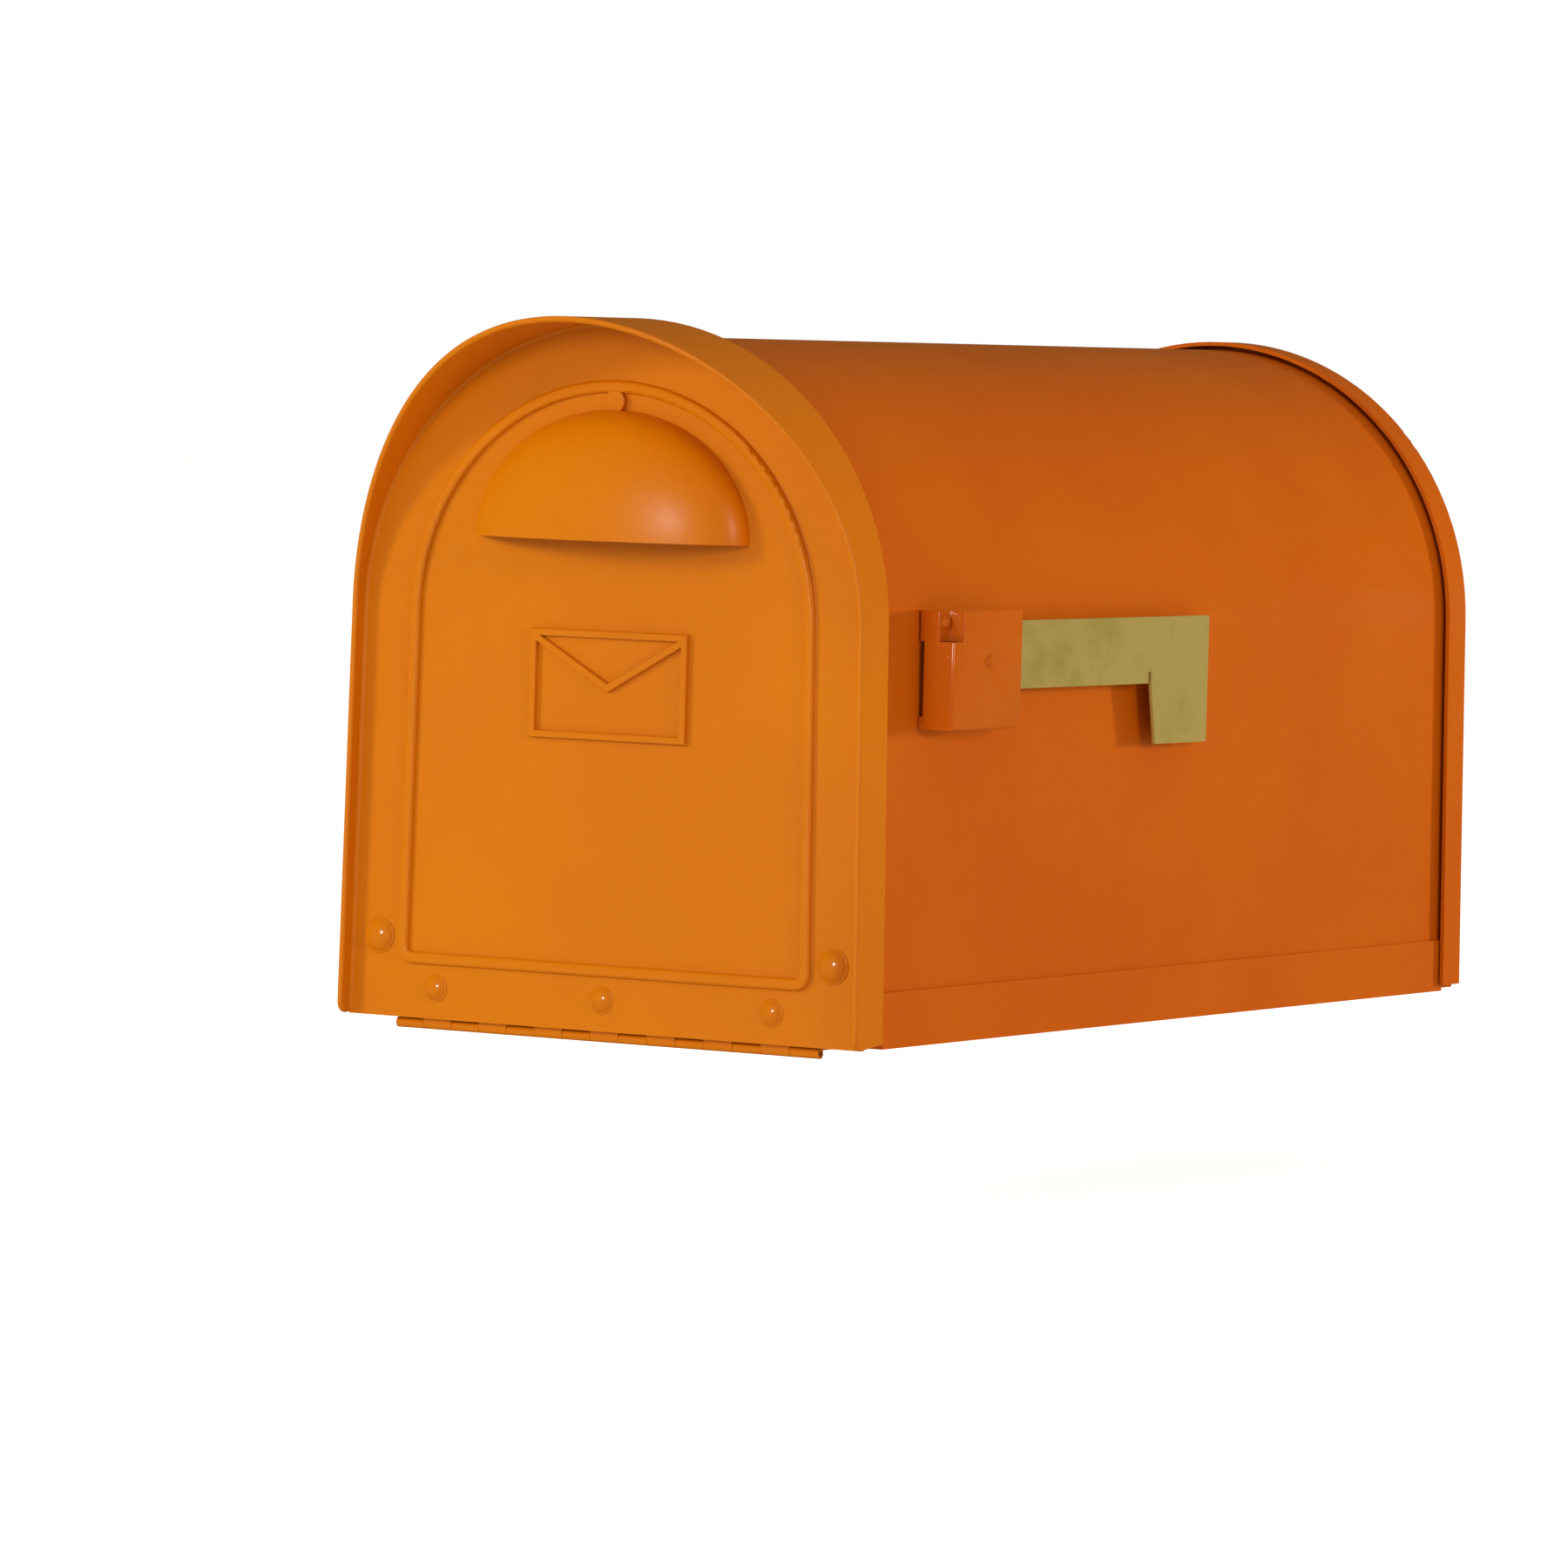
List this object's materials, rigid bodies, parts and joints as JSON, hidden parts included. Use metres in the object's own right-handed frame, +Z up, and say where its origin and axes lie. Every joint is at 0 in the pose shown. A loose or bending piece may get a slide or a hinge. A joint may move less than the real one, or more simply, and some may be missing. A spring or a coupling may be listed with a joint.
{
  "type": "mailbox",
  "caption": "Arched post-mount mailbox with a visored drop-down door on a continuous hinge, slotted door stays, a rear cap and a signal flag on the side.",
  "frame": {"origin": "underside of the floor pan, at the centre of the four mounting holes", "axes": "+X to the right seen from the front, +Y from the door to the rear cap, +Z up"},
  "size_m": [0.2718, 0.5853, 0.3053],
  "materials": {
    "orange_paint": "gloss, slight orange peel",
    "flag_brass": "satin, dull",
    "zinc_steel": "zinc plated",
    "spring_steel": "plain",
    "nylon": "natural"
  },
  "bodies": {
    "housing": {"bracket_nut": "zinc_steel", "bracket_screw": "orange_paint", "catch_rivets": "orange_paint", "catch_spring": "spring_steel", "flag_bracket": "orange_paint", "flag_inner_spacer": "nylon", "flag_outer_spacer": "nylon", "flag_pivot_bolt": "orange_paint", "flag_pivot_nut": "zinc_steel", "flag_spring_washer": "spring_steel", "floor_pan": "orange_paint", "guide_bracket_left": "zinc_steel", "guide_bracket_right": "zinc_steel", "guide_bracket_rivets": "orange_paint", "guide_pins": "zinc_steel", "hinge_body_leaf": "orange_paint", "hinge_leaf_rivets": "orange_paint", "hinge_pin": "zinc_steel", "pan_rivets": "orange_paint", "rear_cap": "orange_paint", "rear_cap_screws": "orange_paint", "shell_tube": "orange_paint"},
    "door": {"door_casting": "orange_paint", "hinge_door_leaf": "orange_paint", "hinge_bolts": "orange_paint", "hinge_bolt_nuts": "zinc_steel", "corner_bolts": "orange_paint", "corner_bolt_nuts": "zinc_steel", "door_lug_right": "zinc_steel", "door_lug_left": "zinc_steel", "stay_rivets": "zinc_steel", "latch_tongue": "spring_steel", "latch_screw": "zinc_steel"},
    "stay_right": {"stay_arm_right": "zinc_steel"},
    "stay_left": {"stay_arm_left": "zinc_steel"},
    "flag": {"flag_plate": "flag_brass", "flag_bush": "nylon"}
  },
  "joints": [
    {"name": "door_hinge", "type": "hinge", "parent": "housing", "child": "door", "pos_m": [0, -0.2598, -0.00235], "axis": [1, 0, 0], "range_deg": [0, 90]},
    {"name": "stay_right_pivot", "type": "hinge", "parent": "door", "child": "stay_right", "pos_m": [0.1184, -0.246, 0.042], "axis": [1, 0, 0], "range_deg": [-45, 0]},
    {"name": "stay_left_pivot", "type": "hinge", "parent": "door", "child": "stay_left", "pos_m": [-0.1184, -0.246, 0.042], "axis": [1, 0, 0], "range_deg": [-45, 0]},
    {"name": "flag_pivot", "type": "hinge", "parent": "housing", "child": "flag", "pos_m": [0.132, -0.19, 0.161], "axis": [1, 0, 0], "range_deg": [0, 90]}
  ],
  "couplings": [
    {"joint": "stay_right_pivot", "follows": "door_hinge", "ratio": -0.5},
    {"joint": "stay_left_pivot", "follows": "door_hinge", "ratio": -0.5}
  ]
}
